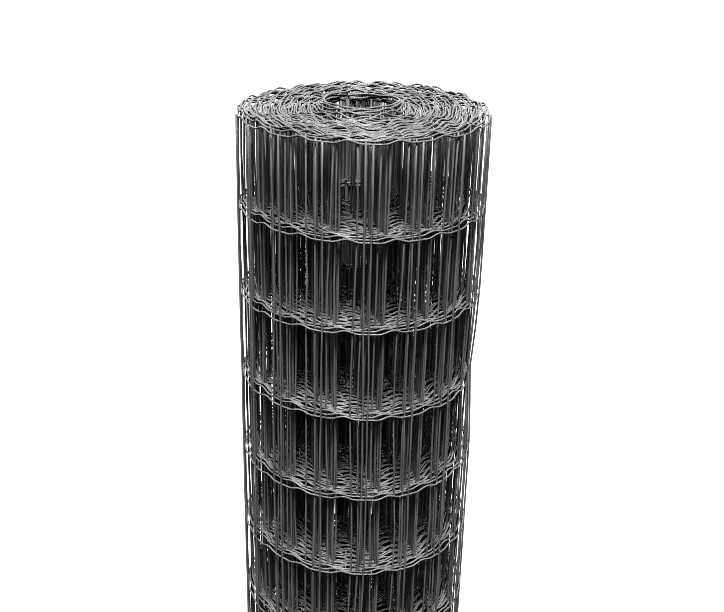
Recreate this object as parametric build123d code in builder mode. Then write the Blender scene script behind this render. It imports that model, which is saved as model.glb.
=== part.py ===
# Roll of welded wire fencing, standing on its end.
#
# The mesh is one welded sheet: straight stay wires, 50 mm apart, on crimped line
# wires, 100 mm apart, wound into a hollow roll. The wound sheet is one turned
# solid here: a thick tube with a through bore, whose two ends show the turns as
# rings, each ring as wide as a line wire and each groove the gap to the next turn.
# The sheet is equally wide all along, and its inner turns have slid up: they
# stand out of the upper end and are as far inside the lower one, so the roll
# rests on its outermost turn.
#
# Frame: millimetres, +Z up along the roll's axis, origin at the middle of the
# lower end, on the floor.

import os

from build123d import *

# Driving dimensions, in millimetres
mesh_height = 1000.0      # first line wire to last line wire, ten meshes of 100
line_spacing = 100.0      # line wire to line wire
stay_spacing = 50.0       # stay wire to stay wire, along the sheet
wire_diameter = 2.1       # over the plastic coating
crimp_depth = 3.4         # rise of a line wire's crimp between two stays
sheet_length = 20000.0    # unrolled

outer_radius = 137.6      # over the outermost stay wires
bore_radius = 39.0        # inside the innermost line wires
turns = 36                # 20 m at a mean radius of about 88 mm
groove_depth = 4.0        # how far the gap between two turns is sunk at each end
groove_floor = 0.5        # width of the gap's floor

# How far a turn has slid up, by its radius. The three outermost are loose and
# have slid by other amounts.
slid_up = [(39.0, 10.9), (42.0, 10.0), (45.0, 7.6), (48.0, 4.6), (51.0, 2.9), (54.0, 1.9), (60.0, 1.6), (140.0, 1.6)]
slid_up_outside = [0.0, 1.5, 2.6]

sheet_width = mesh_height + crimp_depth + wire_diameter
pitch = (outer_radius - bore_radius) / turns
half_gap = (pitch - wire_diameter) / 2.0


def slide(turn):
    """How far a turn has slid up. Turn 0 is the innermost one."""
    outside = turns - 1 - turn
    if outside < len(slid_up_outside):
        return slid_up_outside[outside]
    radius = bore_radius + turn * pitch
    for (r0, h0), (r1, h1) in zip(slid_up[:-1], slid_up[1:]):
        if radius <= r1:
            return h0 + (h1 - h0) * (radius - r0) / (r1 - r0)
    return slid_up[-1][1]


def half_profile():
    """Section of the wound sheet on the XZ plane, from the bore out and back."""
    upper, lower = [], []
    for turn in range(turns):
        inner = bore_radius + turn * pitch
        height = slide(turn)
        if turn > 0:
            beside = slide(turn - 1)
            for r in (inner - groove_floor / 2.0, inner + groove_floor / 2.0):
                upper.append((r, sheet_width + min(height, beside) - groove_depth))
                lower.append((r, max(height, beside) + groove_depth))
        left = inner + (half_gap if turn > 0 else 0.0)
        right = inner + pitch - (half_gap if turn < turns - 1 else 0.0)
        for r in (left, right):
            upper.append((r, sheet_width + height))
            lower.append((r, height))
    return upper + lower[::-1]


with BuildPart() as mesh_roll:
    with BuildSketch(Plane.XZ):
        with BuildLine():
            Polyline(*half_profile(), close=True)
        make_face()
    revolve(axis=Axis.Z, revolution_arc=360)

mesh_roll.part.label = "mesh_roll"

os.makedirs("parts", exist_ok=True)
export_step(mesh_roll.part, "parts/mesh_roll.step")

mean_radius = (outer_radius + bore_radius) / 2.0
box = mesh_roll.part.bounding_box()
print("pitch", round(pitch, 3), "turned length", round(turns * 2 * 3.14159265 * mean_radius), "of", sheet_length)
print("height", round(box.max.Z - box.min.Z, 2), "from", round(box.min.Z, 3), "volume m3", round(mesh_roll.part.volume / 1e9, 5))
print("outer ring", round(outer_radius - pitch + half_gap, 2), "to", outer_radius, "valid", mesh_roll.part.is_valid)
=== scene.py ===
import math

import bpy
import numpy as np
from mathutils import Matrix, Vector


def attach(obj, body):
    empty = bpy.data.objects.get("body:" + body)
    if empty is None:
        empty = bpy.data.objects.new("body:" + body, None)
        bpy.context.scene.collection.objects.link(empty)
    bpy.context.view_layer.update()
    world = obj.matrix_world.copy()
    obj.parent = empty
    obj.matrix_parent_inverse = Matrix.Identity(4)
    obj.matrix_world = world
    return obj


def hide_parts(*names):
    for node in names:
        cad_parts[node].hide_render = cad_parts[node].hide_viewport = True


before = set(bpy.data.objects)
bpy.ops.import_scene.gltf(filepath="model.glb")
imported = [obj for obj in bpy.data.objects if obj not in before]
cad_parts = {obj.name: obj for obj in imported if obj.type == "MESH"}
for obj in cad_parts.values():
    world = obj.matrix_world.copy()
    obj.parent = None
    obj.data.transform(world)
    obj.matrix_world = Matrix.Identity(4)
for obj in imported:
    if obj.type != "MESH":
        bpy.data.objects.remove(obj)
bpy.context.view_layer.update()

# ---------------------------------------------------------------------------
# The sheet, in millimetres. Line wires run round the roll, one every 100 mm,
# and stay wires stand across them on the outside, one every 50 mm.
# ---------------------------------------------------------------------------
WIRE = 2.1            # coated wire
ROWS = 11             # line wires
ROW_PITCH = 100.0
STAY_PITCH = 50.0
CRIMP = 3.4           # height of the wave in a line wire
CRIMP_HALF = 14.5     # from the wave's crest to its foot
WELD = 0.25           # how far the two coatings run into each other at a weld
TURNS = 36
LOOSE = 3             # turns on the outside that have sprung open
NEST = 0.86           # crests lie over troughs, so two line wires need less than two half widths
GAP, SLACK = 0.06, 0.40
R_IN = 39.0 + WIRE / 2
SEED = 62
STEP = 0.5            # degrees between points of the wound line
END_AT = 55.0         # degrees, seen from above, where the sheet's end lies

# ---------------------------------------------------------------------------
# Camera, fitted to the photograph of 724 x 612 pixels
# ---------------------------------------------------------------------------
LENS = 1100.4         # pixels
CAM_AT = np.array([0.0, -1154.77, 1278.65])
YAW, PITCH, ROLL = math.radians(-0.14), math.radians(23.55), math.radians(1.3)
AHEAD = np.array([-math.sin(YAW) * math.cos(PITCH), math.cos(YAW) * math.cos(PITCH), -math.sin(PITCH)])
LEVEL = np.array([math.cos(YAW), math.sin(YAW), 0.0])
CAM_X = LEVEL * math.cos(ROLL) + np.cross(LEVEL, AHEAD) * math.sin(ROLL)
CAM_Y = np.cross(CAM_X, AHEAD)
FRONT = 134.0         # the front of the roll


def sight(x, y):
    """The line of sight through a pixel: how far it goes right for each mm ahead, and its height at the roll's front."""
    line = AHEAD + (x - 362) / LENS * CAM_X + (306 - y) / LENS * CAM_Y
    return line[0] / line[1], CAM_AT[2] + (-CAM_AT[1] - FRONT) * line[2] / line[1]


# narrow gaps through which the photograph shows daylight: pixels of their upper and lower ends
DAYLIGHT = [(255.3, 145, 255.3, 176), (260.4, 155, 260.8, 180), (432.3, 139, 431.0, 173), (256.4, 219, 255.8, 231),
            (271.2, 231, 271.2, 260), (439.8, 233, 439.2, 256), (243.0, 142, 244.6, 190), (243.3, 228, 243.4, 305)]


# ---------------------------------------------------------------------------
# Winding
# ---------------------------------------------------------------------------
def smooth_noise(x, count, low, high, rng):
    out = np.zeros_like(x)
    for _ in range(count):
        out += rng.normal() * np.sin(rng.uniform(low, high) * x + rng.uniform(0, 2 * math.pi))
    return out / max(1e-9, out.std())


def gauss(a, sigma):
    half = int(4 * sigma) + 1
    k = np.exp(-0.5 * (np.arange(-half, half + 1) / sigma) ** 2)
    return np.convolve(np.pad(a, half, mode="edge"), k / k.sum(), mode="valid")


def raise_over(lift, th, r, angle):
    """A stay stands out of the line wire that it is welded to."""
    i = int(round(angle / math.radians(STEP)))
    i = min(i, len(th) - 1)
    reach = int(5 / (r[i] * math.radians(STEP))) + 1
    lo, hi = max(0, i - reach), min(len(th), i + reach + 1)
    d = np.abs((th[lo:hi] - angle) * r[i])
    lift[lo:hi] = np.maximum(lift[lo:hi], WIRE * np.sqrt(np.clip(1 - (d / (1.6 * WIRE)) ** 2, 0, 1)))


def wind(turns, slack):
    """Winds the sheet turn on turn. The line is pulled straight from one high spot of the turn below to the next,
    where the turn below is its own line wire, with a stay standing out of it every 50 mm."""
    rng = np.random.default_rng(SEED)
    per = int(round(360 / STEP))
    n = turns * per + 1
    th = np.arange(n) * math.radians(STEP)
    noise = slack * smooth_noise(th, 60, 0.3, 4.2, rng)
    r = np.full(n, R_IN)
    lift = np.zeros(n)
    stays = []
    run, next_stay = 0.0, 0.8 * STAY_PITCH
    done = anchor = 0
    chunk, ahead = int(40 / STEP), int(240 / STEP)
    while done < n - 1:
        end = min(anchor + ahead, n - 1, done + per)
        idx = np.arange(anchor, end + 1)
        sup = np.empty(len(idx))
        for q, i in enumerate(idx):
            if i < per:
                sup[q] = R_IN + 4.8 * max(0.0, i / per - 0.75)
            else:
                sup[q] = r[i - per] + NEST * (WIRE + lift[i - per]) + max(-0.15, GAP + noise[i])
        x, y = sup * np.cos(th[idx]), sup * np.sin(th[idx])
        hull = []
        for q in range(len(idx)):
            while len(hull) >= 2:
                a, b = hull[-2], hull[-1]
                if (x[b] - x[a]) * (y[q] - y[a]) - (y[b] - y[a]) * (x[q] - x[a]) <= 0:
                    hull.pop()
                else:
                    break
            hull.append(q)
        stop = min(done + chunk, n - 1)
        for a, b in zip(hull[:-1], hull[1:]):
            ia, ib = idx[a], idx[b]
            if ia > stop:
                break
            dx, dy = x[b] - x[a], y[b] - y[a]
            c = dy * x[a] - dx * y[a]
            ang = th[ia:ib + 1]
            r[ia:ib + 1] = c / (dy * np.cos(ang) - dx * np.sin(ang))
            anchor = ia
        for i in range(done + 1, stop + 1):
            run += math.hypot(r[i] * (th[i] - th[i - 1]), r[i] - r[i - 1])
            if run >= next_stay:
                stays.append(th[i] - (run - next_stay) / r[i])
                raise_over(lift, th, r, stays[-1])
                next_stay += STAY_PITCH
        done = stop
    return th, r, lift, stays


# line-wire radius of the loose turns, outermost first, by degrees from the side that faces the camera
AROUND = [-180, -135, -92, -78, -62, -42, -15, 15, 45, 90, 135, 180]
LOOSE_R = [[132.2, 131.8, 133.6, 133.9, 133.9, 133.5, 133.0, 133.0, 133.5, 134.4, 132.8, 132.2],
           [129.7, 129.6, 132.0, 131.2, 127.6, 127.6, 129.5, 129.5, 129.6, 131.2, 130.1, 129.7],
           [127.3, 127.2, 129.1, 127.8, 124.7, 124.6, 126.0, 126.0, 126.2, 126.6, 126.9, 127.3]]
FULL_R = [124.9, 124.9, 126.8, 125.4, 122.6, 123.6, 126.0, 127.0, 123.8, 125.2, 124.9, 124.9]     # the turn under them
STAY_AT = [4.65, 1.8, -2.9]         # degrees from that side at which each of them has a stay


def side(angle):
    """Degrees from the side that faces the camera, -180 to 180, for an angle in the world."""
    return (np.degrees(angle) + 90 + 180) % 360 - 180


def fill_out(th, r):
    """Spreads the wound turns where they would leave a wide gap under the loose ones."""
    per = int(round(360 / STEP))
    face = side(th + math.radians(END_AT) - TURNS * 2 * math.pi)
    order = np.argsort(face[-per:])
    edge = np.interp(face, face[-per:][order], r[-per:][order], period=360)
    more = np.maximum(0.0, np.interp(face, AROUND, FULL_R) - edge)
    return r + more * (np.maximum(0.0, r - R_IN) / (edge - R_IN)) ** 1.5


def add_loose_turns(r, lift, stays):
    per = int(round(360 / STEP))
    n = TURNS * per + 1
    th = np.arange(n) * math.radians(STEP)
    turn_by = math.radians(END_AT) - th[-1]
    r = np.append(r, np.zeros(n - len(r)))
    lift = np.append(lift, np.zeros(n - len(lift)))
    front = side(th + turn_by)
    curves = [np.interp(front, AROUND, row) for row in LOOSE_R]
    for level in range(LOOSE - 1, -1, -1):
        i0 = n - 1 - per * (level + 1)
        for i in range(i0 + 1, i0 + per + 1):
            w = min(1.0, (i - i0) / per / 0.22)
            w = w * w * (3 - 2 * w)
            below = curves[level + 1][i] if level < LOOSE - 1 else r[i - per] + 2.45
            r[i] = max(below * (1 - w) + curves[level][i] * w, r[i - per] + NEST * WIRE - 0.1)
        s = np.concatenate([[0], np.cumsum(np.hypot(r[1:] * np.diff(th), np.diff(r)))])
        k = np.arange(i0, i0 + per + 1)
        hit = k[np.argmin(np.abs(front[k] - STAY_AT[level]))]
        last = np.interp(stays[-1], th, s)
        count = round((s[hit] - last) / STAY_PITCH)
        for q in range(1, count + 1):
            stays.append(float(np.interp(last + (s[hit] - last) * q / count, s, th)))
            raise_over(lift, th, r, stays[-1])
    last = np.interp(stays[-1], th, s)
    while last + STAY_PITCH <= s[-1]:
        last += STAY_PITCH
        stays.append(float(np.interp(last, s, th)))
    return th, r, np.array(stays), turn_by, front


th_in, r_in, lift_in, stays_in = wind(TURNS - LOOSE, SLACK)
theta, radius, stay_angle, turn_by, front_deg = add_loose_turns(fill_out(th_in, r_in), lift_in, stays_in)

# the end of the sheet is its last stay
last_angle = stay_angle[-1]
keep = theta <= last_angle + 1e-9
theta, radius, front_deg = theta[keep], radius[keep], front_deg[keep]

# wire is stiff, so the corners are rounded, and most near the bore
tight = np.interp(radius, [44, 75], [0, 1])
radius = tight * gauss(radius, 6.0) + (1 - tight) * gauss(radius, 14.0)

turn_no = (last_angle - theta) / (2 * math.pi)     # 0 on the outside, growing inwards


def at(angle, values):
    return np.interp(angle, theta, values)


# ---------------------------------------------------------------------------
# How the sheet sits: the inner turns ride up, and nothing is quite level
# ---------------------------------------------------------------------------
rng = np.random.default_rng(SEED + 5)
TOP_RISE = 13.5
rise = np.interp(radius, [39.5, 41.5, 43.3, 45, 46.7, 48.5, 50, 52, 54, 58, 70, 116, 123],
                 [14.5, 12.9, 11.5, 9.6, 7.8, 5.8, 4.4, 3.3, 2.5, 2.0, 2.1, 2.1, 2.8])
rise = np.where(turn_no < 3.2, np.interp(turn_no, [0.0, 0.80, 1.02, 1.80, 2.05, 2.8, 3.2], [0.1, 0.1, 2.5, 2.6, 4.1, 4.0, 2.8]), rise)
# the ring is lower at the back, most of all at the back left
sunk = np.interp(front_deg, [-180, -150, -120, -95, -65, 100, 135, 160, 180], [2.0, 3.1, 3.2, 2.4, 0, 0, 0.6, 1.4, 2.0])
rise = rise - sunk * np.interp(turn_no, [0, 0.9, 1.2, 3.2, 5, 25, 30], [0, 0, 1, 1, 0.6, 0.6, 0])
sunk = np.interp(front_deg, [-180, -135, -90, -45, 0, 45, 90, 135, 180], [2.3, 2.6, 2.9, 1.6, 1.0, 0.9, 1.3, 1.9, 2.3])
rise = rise - sunk * np.interp(radius, [40, 46, 58, 66, 90], [1.0, 1.3, 1.3, 0.7, 0.0])
# round the bore the turns step down gently at the front and sharply at the back
bump = np.interp(np.abs(front_deg), [0, 20, 60], [1, 1, 0])
rise = rise + bump * np.interp(radius, [39.5, 42, 44.5, 47, 49.5, 52, 54, 58, 66, 74], [-1.0, -0.7, -0.2, 0.8, 1.5, 1.7, 1.7, 1.4, 0.6, 0])
bump = np.interp(np.abs(front_deg), [100, 145, 180], [0, 1, 1])
rise = rise + bump * np.interp(radius, [39.5, 42, 44.5, 47, 49.5, 52], [0.9, -1.4, -1.8, -1.8, -1.0, 0])
calm = np.interp(turn_no, [0, 2.8, 4.5, 27, 31, 36], [0.2, 0.3, 1.0, 1.0, 0.5, 0.3])
rise = np.maximum(gauss(rise + 0.6 * calm * smooth_noise(theta, 50, 0.4, 5.0, rng), 16), 0.1)
rise = rise - rise.min()
rise = rise * (TOP_RISE / rise.max())


class Field:
    """A smooth random value over the sheet: how far it is off, at an angle along the winding and a height."""

    def __init__(self, size, seed, low=0.4, high=6.0, tall=(0.6, 3.0), count=70):
        r = np.random.default_rng(seed)
        self.a = r.normal(size=count)
        self.w = r.uniform(low, high, count)
        self.h = r.uniform(tall[0], tall[1], count) * 2 * math.pi / 1000.0 * r.choice([-1, 1], count)
        self.p = r.uniform(0, 2 * math.pi, count)
        self.size = size / math.sqrt((self.a ** 2).sum() / 2)

    def __call__(self, angle, height):
        angle = np.asarray(angle, float)[..., None]
        height = np.asarray(height, float)[..., None]
        return self.size * (self.a * np.sin(self.w * angle + self.h * height + self.p)).sum(-1)


drift = Field(1.1, 25)
wander = Field(0.35, 22, 0.6, 9.0, (0.8, 5.0))
level = Field(0.35, 23, 0.6, 9.0, (2.0, 12.0))


def along(angle, height):
    """Sideways, along the winding: less in the outer turn, whose stays are where the photograph has them."""
    out = (last_angle - np.asarray(angle, float)) / (2 * math.pi)
    return drift(angle, height) * np.interp(out, [0.9, 1.5], [0.45, 1.0])


def outward(angle, height):
    """How far the sheet is off its radius: a little everywhere, and knocked in on the right side, 0.3 m below the top."""
    face = side(angle + turn_by)
    depth = np.interp((last_angle - angle) / (2 * math.pi), [0.0, 1.1, 1.5, 2.3, 3.5, 6.0], [5.4, 5.4, 1.6, 0.8, 0.4, 0.0])
    hit = np.exp(-((face - 84) / 26) ** 2 - ((np.asarray(height) - 702) / 62) ** 2)
    return wander(angle, height) - depth * hit


def place(angle, r, z):
    """World position, in mm, of a point of the sheet. The bore is a little to the left of the middle."""
    a = angle + turn_by
    s = np.clip((r - 39) / 65, 0, 1)
    return np.stack([r * np.cos(a) - 2.6 * (1 - s * s * (3 - 2 * s)), r * np.sin(a), z], -1)


# between two line wires a stay may lean
NODES = 2 * (ROWS - 1) + 1
STAY_Z = np.linspace(WIRE / 2 - 0.75, WIRE / 2 + ROW_PITCH * (ROWS - 1) + 0.2, NODES)
lean = np.random.default_rng(SEED + 32).normal(0, 0.4, (len(stay_angle), NODES))
lean[:, ::2] *= 0.3


def sway(i, z):
    """How far stay i is to the side at height z, in mm."""
    t = np.clip((np.asarray(z) - STAY_Z[0]) / (STAY_Z[1] - STAY_Z[0]), 0, NODES - 1.001)
    k = t.astype(int)
    return lean[i, k] * (1 - t + k) + lean[i, k + 1] * (t - k)


def settle(angles, tries):
    """Sets stays a few mm to one side, so that little daylight comes straight through the roll, but for the gaps in
    DAYLIGHT: the open view is counted from the camera's side, at several heights, the first ones over the top ring. In
    the outer turn only the stays at the two sides move."""
    far, high = -CAM_AT[1], CAM_AT[2]
    cells, wide, inside = 3360, 0.12096, 0.1085
    # height at which the line of sight passes the front of the roll
    heights = np.array([1044, 1036, 1028, 1019, 1010, 1000, 994, 988, 980, 970, 955, 940, 925, 905, 898, 889, 880, 868, 852, 830,
                        798, 789, 779, 765, 740, 690, 610, 520, 430, 350.0])
    count = len(heights)
    rows = np.arange(count)[:, None]
    rr = at(angles, radius) + WIRE - WELD
    up = at(angles, rise)
    outer = angles > last_angle - 2.1 * math.pi
    reach = np.where(outer, np.where(np.abs(side(angles + turn_by)) > 62, 2.5, 0.0), 4.0)

    def spans(i, moved):
        a = angles[i] + moved / rr[i]
        d = far + rr[i] * np.sin(a + turn_by)
        z = high - (high - heights[:, None]) * d / (far - FRONT)
        a = a + (along(np.broadcast_to(angles[i], z.shape), z) + sway(i, z - up[i])) / rr[i]
        u = place(a, rr[i], z)[..., 0] / d
        half = np.where(z > 1002 + up[i], 0.0, 0.97 * WIRE / 2 / d)
        lo = np.clip(np.rint((u - half + wide) / (2 * wide) * cells), 0, cells).astype(int)
        hi = np.clip(np.rint((u + half + wide) / (2 * wide) * cells), 0, cells).astype(int)
        return lo, hi, -np.sin(a + turn_by) / d

    want = np.zeros((count, cells + 400), bool)
    for x0, y0, x1, y1 in DAYLIGHT:
        (u0, h0), (u1, h1) = sight(x0, y0), sight(x1, y1)
        for k in np.flatnonzero((heights < h0 + 3) & (heights > h1 - 3)):
            u = u0 + (u1 - u0) * (heights[k] - h0) / (h1 - h0)
            c = int(round((u + wide) / (2 * wide) * cells))
            want[k, c - 7:c + 8] = True

    counts = np.abs(np.arange(cells + 400) / cells * 2 * wide - wide) < inside

    def cost(part, wanted, counted):
        return np.where(wanted, 8 * part, (part == 0) & counted).sum()

    moved = np.zeros(len(angles))
    lo, hi, slope = spans(np.arange(len(angles)), moved)
    cover = np.zeros((count, cells + 1), int)
    for k in range(count):
        np.add.at(cover[k], lo[k], 1)
        np.add.at(cover[k], hi[k], -1)
    cover = np.pad(np.cumsum(cover, 1)[:, :-1], ((0, 0), (0, 400)), constant_values=99)
    before = (cover[:, counts] == 0).mean(1)
    r = np.random.default_rng(SEED + 3)
    cell = 2 * wide / cells
    for _ in range(tries):
        k = int(r.integers(count))
        wrong = np.flatnonzero(np.where(want[k], cover[k] > 0, (cover[k] == 0) & counts))
        if not len(wrong):
            continue
        c = int(r.choice(wrong))
        if want[k, c]:
            near = np.flatnonzero((lo[k] <= c) & (hi[k] > c) & (reach > 0))
            away = r.uniform(-3.5, 3.5, len(angles))
        else:
            away = (c - (lo[k] + hi[k]) / 2) * cell / np.where(np.abs(slope[k]) < 2e-4, 1e-9, slope[k]) + r.uniform(-0.8, 0.8)
            near = np.flatnonzero((np.abs(moved + away) < reach) & (hi[k] > lo[k]))
        if not len(near):
            continue
        i = int(r.choice(near))
        try_at = moved[i] + away[i]
        if abs(try_at) > reach[i]:
            continue
        n_lo, n_hi, n_slope = spans(np.array([i]), try_at)
        o_lo, o_hi = lo[:, i:i + 1], hi[:, i:i + 1]
        start = np.minimum(o_lo, n_lo)
        at_cell = start + np.arange(int((np.maximum(o_hi, n_hi) - start).max()))
        part, wanted = cover[rows, at_cell], want[rows, at_cell]
        after = part - ((at_cell >= o_lo) & (at_cell < o_hi)) + ((at_cell >= n_lo) & (at_cell < n_hi))
        if cost(after, wanted, counts[at_cell]) <= cost(part, wanted, counts[at_cell]):
            cover[rows, at_cell] = after
            lo[:, i], hi[:, i], slope[:, i] = n_lo[:, 0], n_hi[:, 0], n_slope[:, 0]
            moved[i] = try_at
    print("open view", np.round(before * 100, 1), "->", np.round((cover[:, counts] == 0).mean(1) * 100, 1))
    print("daylight where it is wanted", round(float((cover[want] == 0).mean()), 2), "elsewhere", round(float((cover[~want & counts] == 0).mean()), 4))
    return angles + moved / rr


stay_angle = settle(stay_angle, 80000)


# ---------------------------------------------------------------------------
# Meshes
# ---------------------------------------------------------------------------
def tubes(name, paths, outs, thick, sides):
    """One mesh of round wires. paths is (wires, points, 3) in millimetres, outs the outward direction at each point."""
    w, m, _ = paths.shape
    t = np.gradient(paths, axis=1)
    t /= np.linalg.norm(t, axis=2, keepdims=True)
    nrm = outs - (outs * t).sum(2, keepdims=True) * t
    nrm /= np.linalg.norm(nrm, axis=2, keepdims=True)
    b = np.cross(t, nrm)
    k = np.arange(sides) * 2 * math.pi / sides
    ring = paths[:, :, None, :] + thick / 2 * (np.cos(k)[None, None, :, None] * nrm[:, :, None, :]
                                               + np.sin(k)[None, None, :, None] * b[:, :, None, :])
    # small domes close the cut ends
    ends = np.stack([paths[:, 0] - t[:, 0] * thick * 0.12, paths[:, -1] + t[:, -1] * thick * 0.12], 1)
    verts = np.concatenate([ring.reshape(w, m * sides, 3), ends], 1)
    per_wire = m * sides + 2
    i, j = np.meshgrid(np.arange(m - 1), np.arange(sides), indexing="ij")
    j2 = (j + 1) % sides
    quads = np.stack([i * sides + j, i * sides + j2, (i + 1) * sides + j2, (i + 1) * sides + j], -1).reshape(-1, 4)
    jj = np.arange(sides)
    low = np.stack([np.full(sides, m * sides), (jj + 1) % sides, jj], -1)
    high = np.stack([np.full(sides, m * sides + 1), (m - 1) * sides + jj, (m - 1) * sides + (jj + 1) % sides], -1)
    base = (np.arange(w) * per_wire)[:, None, None]
    q = (quads[None] + base).reshape(-1, 4)
    tri = (np.concatenate([low, high])[None] + base).reshape(-1, 3)
    mesh = bpy.data.meshes.new(name)
    verts = (verts.reshape(-1, 3) / 1000.0).astype(np.float32)
    mesh.vertices.add(len(verts))
    mesh.vertices.foreach_set("co", verts.ravel())
    mesh.loops.add(q.size + tri.size)
    mesh.loops.foreach_set("vertex_index", np.concatenate([q.ravel(), tri.ravel()]).astype(np.int32))
    starts = np.concatenate([np.arange(len(q)) * 4, q.size + np.arange(len(tri)) * 3]).astype(np.int32)
    mesh.polygons.add(len(q) + len(tri))
    mesh.polygons.foreach_set("loop_start", starts)
    mesh.update(calc_edges=True)
    mesh.validate()
    mesh.shade_smooth()
    obj = bpy.data.objects.new(name, mesh)
    bpy.context.scene.collection.objects.link(obj)
    print(name, "triangles", 2 * len(q) + len(tri))
    return obj


# where the points of a line wire lie between one stay and the next, in mm: on the wave, and at its feet
FINE = [0, 7, 11.5, 15, 18, 21, 23.5, 26.5, 29, 32, 35, 38.5, 43]
PLAIN = [0, 10.5, 14.2, 17.8, 21.4, 25, 28.6, 32.2, 35.8, 39.5]

crimp_rng = np.random.default_rng(SEED + 9)
crimp_height = crimp_rng.normal(1.0, 0.09, len(stay_angle)).clip(0.75, 1.25)
crimp_shift = crimp_rng.normal(0.0, 0.7, len(stay_angle)).clip(-1.5, 1.5)
crimp_shift[stay_angle > last_angle - 2 * math.pi] *= 0.4
# round the bore the wire is stretched almost smooth
crimp_height *= np.interp(at(stay_angle, turn_no), [33.6, 34.7], [1.0, 0.2])


def line_wire(row, sides, shape):
    frac = np.array(shape) / STAY_PITCH
    a0, a1 = stay_angle[:-1], stay_angle[1:]
    ang = (a0[:, None] + (a1 - a0)[:, None] * frac[None, :]).ravel()
    part = np.tile(frac, len(a0)) * STAY_PITCH
    which = np.repeat(np.arange(len(a0)), len(frac))
    ang = np.append(ang, a1[-1])
    part = np.append(part, STAY_PITCH)
    which = np.append(which, len(a0) - 1)
    z0 = WIRE / 2 + ROW_PITCH * row
    d = np.abs(part - STAY_PITCH / 2 - crimp_shift[which])
    wave = np.where(d < CRIMP_HALF, 0.5 + 0.5 * np.cos(math.pi * np.minimum(d, CRIMP_HALF) / CRIMP_HALF), 0.0)
    r = at(ang, radius)
    z = z0 + at(ang, rise) + CRIMP * crimp_height[which] * wave
    if row > 0:
        z = z + level(ang, np.full(len(ang), z0))
        z = np.minimum(z, z0 + TOP_RISE + CRIMP) if row == ROWS - 1 else z
    moved = ang + along(ang, np.full(len(ang), z0)) / r
    rr = r + outward(ang, np.full(len(ang), z0))
    p = place(moved, rr, z)
    a = moved + turn_by
    o = np.stack([np.cos(a), np.sin(a), np.zeros(len(a))], -1)
    return tubes("line_wire_%02d" % (row + 1), p[None], o[None], WIRE, sides)


def stay_wires():
    ang = np.repeat(stay_angle[:, None], NODES, 1)
    zz = np.repeat(STAY_Z[None, :], len(stay_angle), 0)
    r = at(ang, radius) + outward(ang, zz) + WIRE - WELD
    # between two line wires a stay may bow
    bow = np.random.default_rng(SEED + 31).normal(0, 0.45, (len(stay_angle), NODES))
    r = r + np.abs(bow) * np.where(np.arange(NODES) % 2 == 1, 1, 0)[None, :]
    r = np.minimum(r, 136.3 - 0.5 * np.exp(136.3 - np.maximum(r, 136.3)))
    moved = ang + (along(ang, zz) + lean) / r
    p = place(moved, r, zz + at(ang, rise))
    a = moved + turn_by
    o = np.stack([np.cos(a), np.sin(a), np.zeros_like(a)], -1)
    return tubes("stay_wires", p, o, WIRE, 8)


pieces = [line_wire(k, 8, FINE if k == ROWS - 1 else PLAIN) for k in range(ROWS)]
pieces.append(stay_wires())

radii = [math.hypot(v.co.x, v.co.y) for v in pieces[-1].data.vertices]
print("stays", len(stay_angle), "turns", round(float(turn_no[0]), 2), "outer radius", round(max(radii) * 1000, 2),
      "line r outer turn min/mean/max", round(radius[turn_no < 1].min(), 1), round(radius[turn_no < 1].mean(), 1), round(radius[turn_no < 1].max(), 1))


# ---------------------------------------------------------------------------
# Material: dark grey coating on wire
# ---------------------------------------------------------------------------
def coating():
    mat = bpy.data.materials.new("coated_wire")
    mat.use_nodes = True
    nt = mat.node_tree
    bsdf = nt.nodes["Principled BSDF"]
    bsdf.inputs["Specular IOR Level"].default_value = 0.10
    bsdf.inputs["Metallic"].default_value = 0.0
    tc = nt.nodes.new("ShaderNodeTexCoord")
    big = nt.nodes.new("ShaderNodeTexNoise")
    big.inputs["Scale"].default_value = 22.0
    big.inputs["Detail"].default_value = 4.0
    nt.links.new(tc.outputs["Object"], big.inputs["Vector"])
    ramp = nt.nodes.new("ShaderNodeValToRGB")
    ramp.color_ramp.elements[0].position = 0.32
    ramp.color_ramp.elements[0].color = (0.034, 0.034, 0.034, 1)
    ramp.color_ramp.elements[1].position = 0.70
    ramp.color_ramp.elements[1].color = (0.050, 0.050, 0.050, 1)
    nt.links.new(big.outputs["Fac"], ramp.inputs["Fac"])
    nt.links.new(ramp.outputs["Color"], bsdf.inputs["Base Color"])
    fine = nt.nodes.new("ShaderNodeTexNoise")
    fine.inputs["Scale"].default_value = 900.0
    fine.inputs["Detail"].default_value = 3.0
    nt.links.new(tc.outputs["Object"], fine.inputs["Vector"])
    rr = nt.nodes.new("ShaderNodeMapRange")
    rr.inputs["To Min"].default_value = 0.33
    rr.inputs["To Max"].default_value = 0.50
    nt.links.new(fine.outputs["Fac"], rr.inputs["Value"])
    nt.links.new(rr.outputs["Result"], bsdf.inputs["Roughness"])
    bump = nt.nodes.new("ShaderNodeBump")
    bump.inputs["Strength"].default_value = 0.25
    bump.inputs["Distance"].default_value = 0.0001
    nt.links.new(fine.outputs["Fac"], bump.inputs["Height"])
    nt.links.new(bump.outputs["Normal"], bsdf.inputs["Normal"])
    return mat


wire_mat = coating()
for p in pieces:
    p.data.materials.append(wire_mat)
    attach(p, "root")
    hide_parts("mesh_roll")


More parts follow.
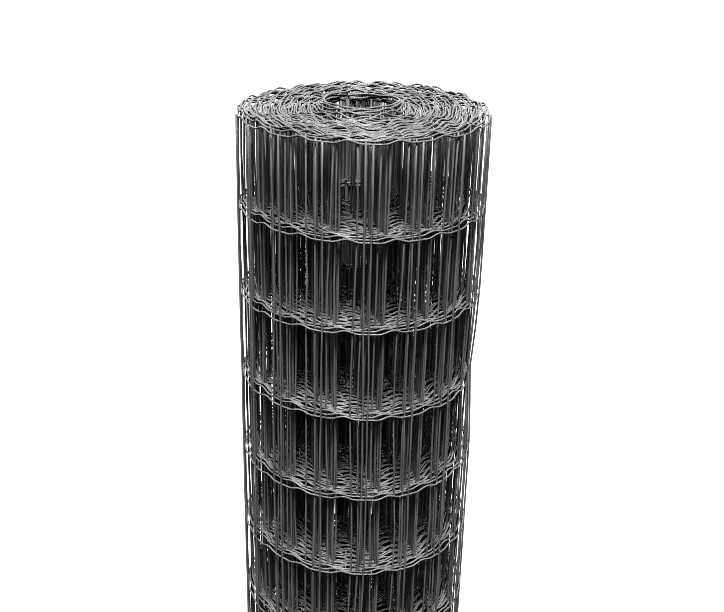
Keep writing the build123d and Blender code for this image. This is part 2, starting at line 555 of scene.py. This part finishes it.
# ---------------------------------------------------------------------------
# Floor, light and camera
# ---------------------------------------------------------------------------
def floor():
    mesh = bpy.data.meshes.new("floor")
    n = 96
    verts = [(0, 0, 0)] + [(9 * math.cos(2 * math.pi * k / n), 9 * math.sin(2 * math.pi * k / n), 0) for k in range(n)]
    mesh.from_pydata(verts, [], [(0, 1 + k, 1 + (k + 1) % n) for k in range(n)])
    obj = bpy.data.objects.new("floor", mesh)
    bpy.context.scene.collection.objects.link(obj)
    mat = bpy.data.materials.new("floor")
    mat.use_nodes = True
    b = mat.node_tree.nodes["Principled BSDF"]
    b.inputs["Base Color"].default_value = (0.92, 0.92, 0.92, 1)
    b.inputs["Roughness"].default_value = 0.9
    b.inputs["Specular IOR Level"].default_value = 0.2
    mesh.materials.append(mat)
    return obj


ground = floor()
ground.visible_diffuse = False
ground.visible_glossy = False

world = bpy.data.worlds.new("studio")
world.use_nodes = True
wn = world.node_tree
wn.nodes["Background"].inputs["Color"].default_value = (1, 1, 1, 1)
wn.nodes["Background"].inputs["Strength"].default_value = 0.10
white = wn.nodes.new("ShaderNodeBackground")
white.inputs["Color"].default_value = (1, 1, 1, 1)
white.inputs["Strength"].default_value = 1.12
seen = wn.nodes.new("ShaderNodeLightPath")
mixed = wn.nodes.new("ShaderNodeMixShader")
wn.links.new(seen.outputs["Is Camera Ray"], mixed.inputs[0])
wn.links.new(wn.nodes["Background"].outputs[0], mixed.inputs[1])
wn.links.new(white.outputs[0], mixed.inputs[2])
wn.links.new(mixed.outputs[0], wn.nodes["World Output"].inputs["Surface"])
bpy.context.scene.world = world


def softbox(name, where, aim, size, watts, spread, onto):
    """A square area light that lights the given objects only."""
    data = bpy.data.lights.new(name, "AREA")
    data.shape = "RECTANGLE"
    data.size, data.size_y = size
    data.energy = watts
    data.spread = math.radians(spread)
    obj = bpy.data.objects.new(name, data)
    bpy.context.scene.collection.objects.link(obj)
    obj.location = where
    obj.rotation_mode = "QUATERNION"
    obj.rotation_quaternion = (Vector(aim) - Vector(where)).to_track_quat("-Z", "Y")
    group = bpy.data.collections.new(name + "_lights")
    for o in onto:
        group.objects.link(o)
    obj.light_linking.receiver_collection = group
    obj.visible_camera = False
    return obj


softbox("overhead", (0.05, -1.65, 4.25), (0, 0, 0.8), (1.6, 1.6), 64, 26, pieces)
behind = softbox("from_behind", (-0.3, 2.5, 3.4), (0, 0, 0.7), (1.6, 1.6), 26, 26, pieces)
behind.visible_glossy = False
# weak light from behind on the left and on the right, for the sides that the overhead light doesn't reach
for side in (-1, 1):
    fill = softbox("fill_left" if side < 0 else "fill_right", (side * 3.3, 1.5, 2.0), (0, 0, 0.6), (1.6, 1.6), 9, 34, pieces)
    fill.visible_glossy = False
# a white wall behind, which shows only as sheen on the wires that run away from the camera
wall = softbox("white_wall", (0, 4.2, 2.0), (0, 0, 0.9), (7.0, 3.6), 160, 180, pieces)
wall.visible_diffuse = False
# the floor is evenly lit, from all over the ceiling, to just past white
sky = bpy.data.lights.new("floor_light", "SUN")
sky.energy = 3.9
sky.angle = math.radians(60)
sky = bpy.data.objects.new("floor_light", sky)
bpy.context.scene.collection.objects.link(sky)
sky.light_linking.receiver_collection = bpy.data.collections.new("floor_light_lights")
sky.light_linking.receiver_collection.objects.link(ground)

bpy.context.scene.cycles.filter_width = 0.9
view = bpy.context.scene.view_settings
view.view_transform = "Standard"
view.look = "High Contrast"

cam_data = bpy.data.cameras.new("camera")
cam_data.sensor_fit = "HORIZONTAL"
cam_data.sensor_width = 36.0
cam_data.lens = LENS / 724 * 36.0
cam_data.clip_start, cam_data.clip_end = 0.05, 100
cam = bpy.data.objects.new("camera", cam_data)
bpy.context.scene.collection.objects.link(cam)
cam.matrix_world = Matrix([[CAM_X[k], CAM_Y[k], -AHEAD[k], CAM_AT[k] / 1000] for k in range(3)] + [[0, 0, 0, 1]])
bpy.context.scene.camera = cam

bpy.context.view_layer.update()
